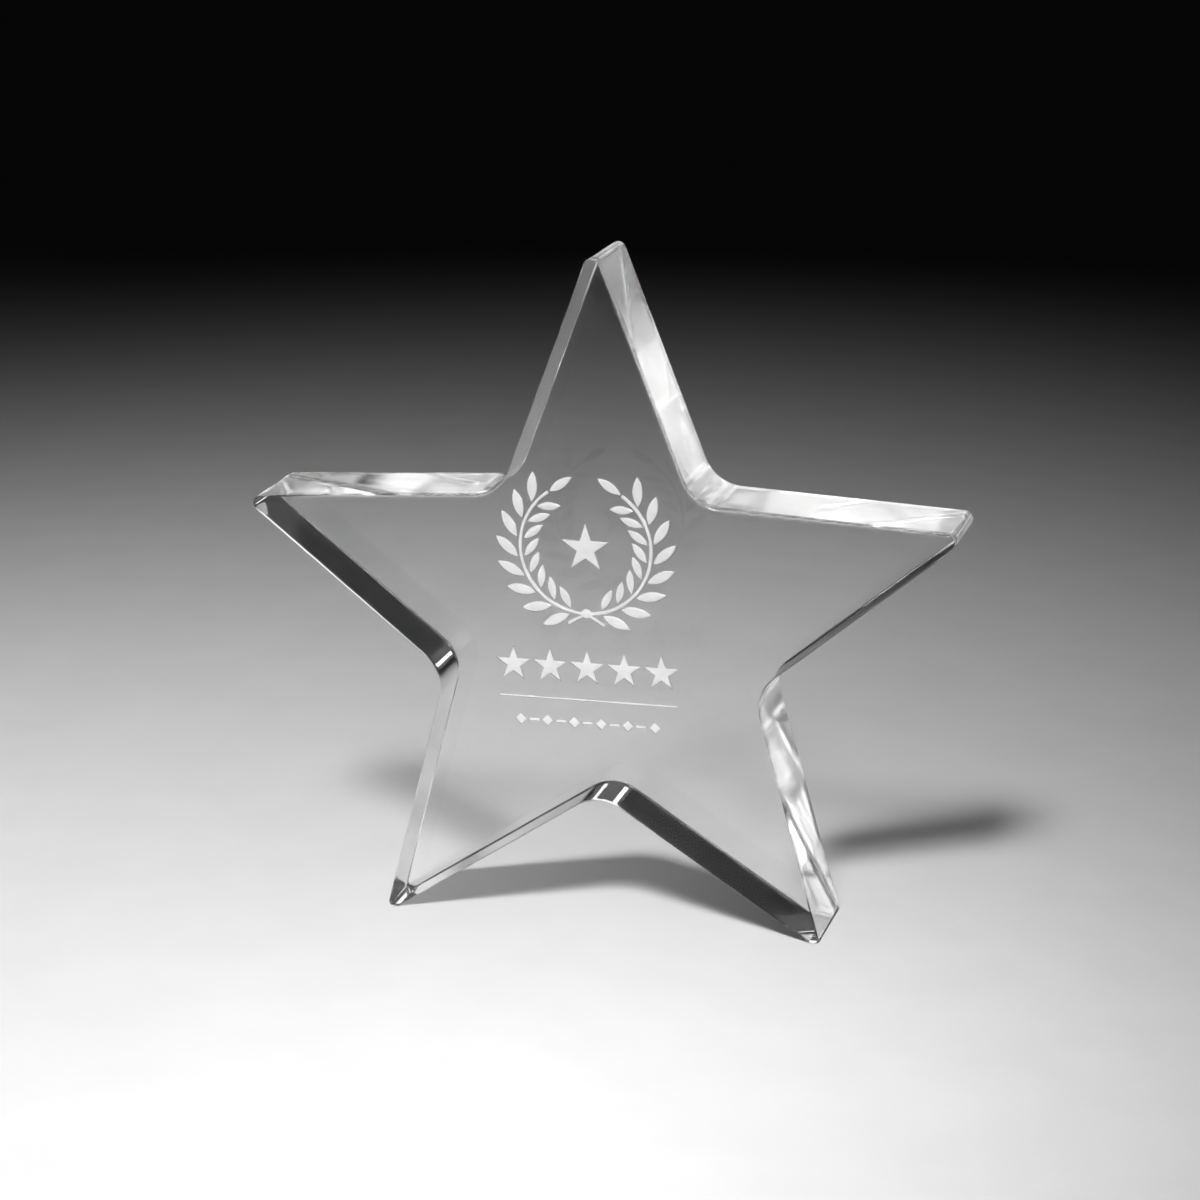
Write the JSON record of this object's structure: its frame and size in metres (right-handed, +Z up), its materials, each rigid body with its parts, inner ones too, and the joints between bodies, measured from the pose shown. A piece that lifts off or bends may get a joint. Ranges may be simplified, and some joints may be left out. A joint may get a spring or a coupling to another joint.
{
  "type": "star trophy",
  "caption": "Free-standing clear five-pointed star block on two lower points, its front face engraved and filled white with a laurel wreath, star row, rule and bead border.",
  "frame": {"origin": "middle of the base: halfway between the two feet and halfway through the thickness, on the surface that the star stands on", "axes": "+X to the right as seen from the engraved side, -Y out of the engraved front face, +Z up"},
  "size_m": [0.1444, 0.02, 0.1378],
  "materials": {
    "clear_acrylic": "flame-polished clear cast acrylic, refractive index 1.49, edges and faces polished",
    "white_filling": "opaque white enamel filling in the engraving, satin"
  },
  "bodies": {
    "root": {"star_block": "clear_acrylic", "wreath_left_leaves": "white_filling", "wreath_right_leaves": "white_filling", "wreath_stems": "white_filling", "emblem_star": "white_filling", "title_stars": "white_filling", "divider_rule": "white_filling", "bead_border": "white_filling"}
  },
  "joints": []
}
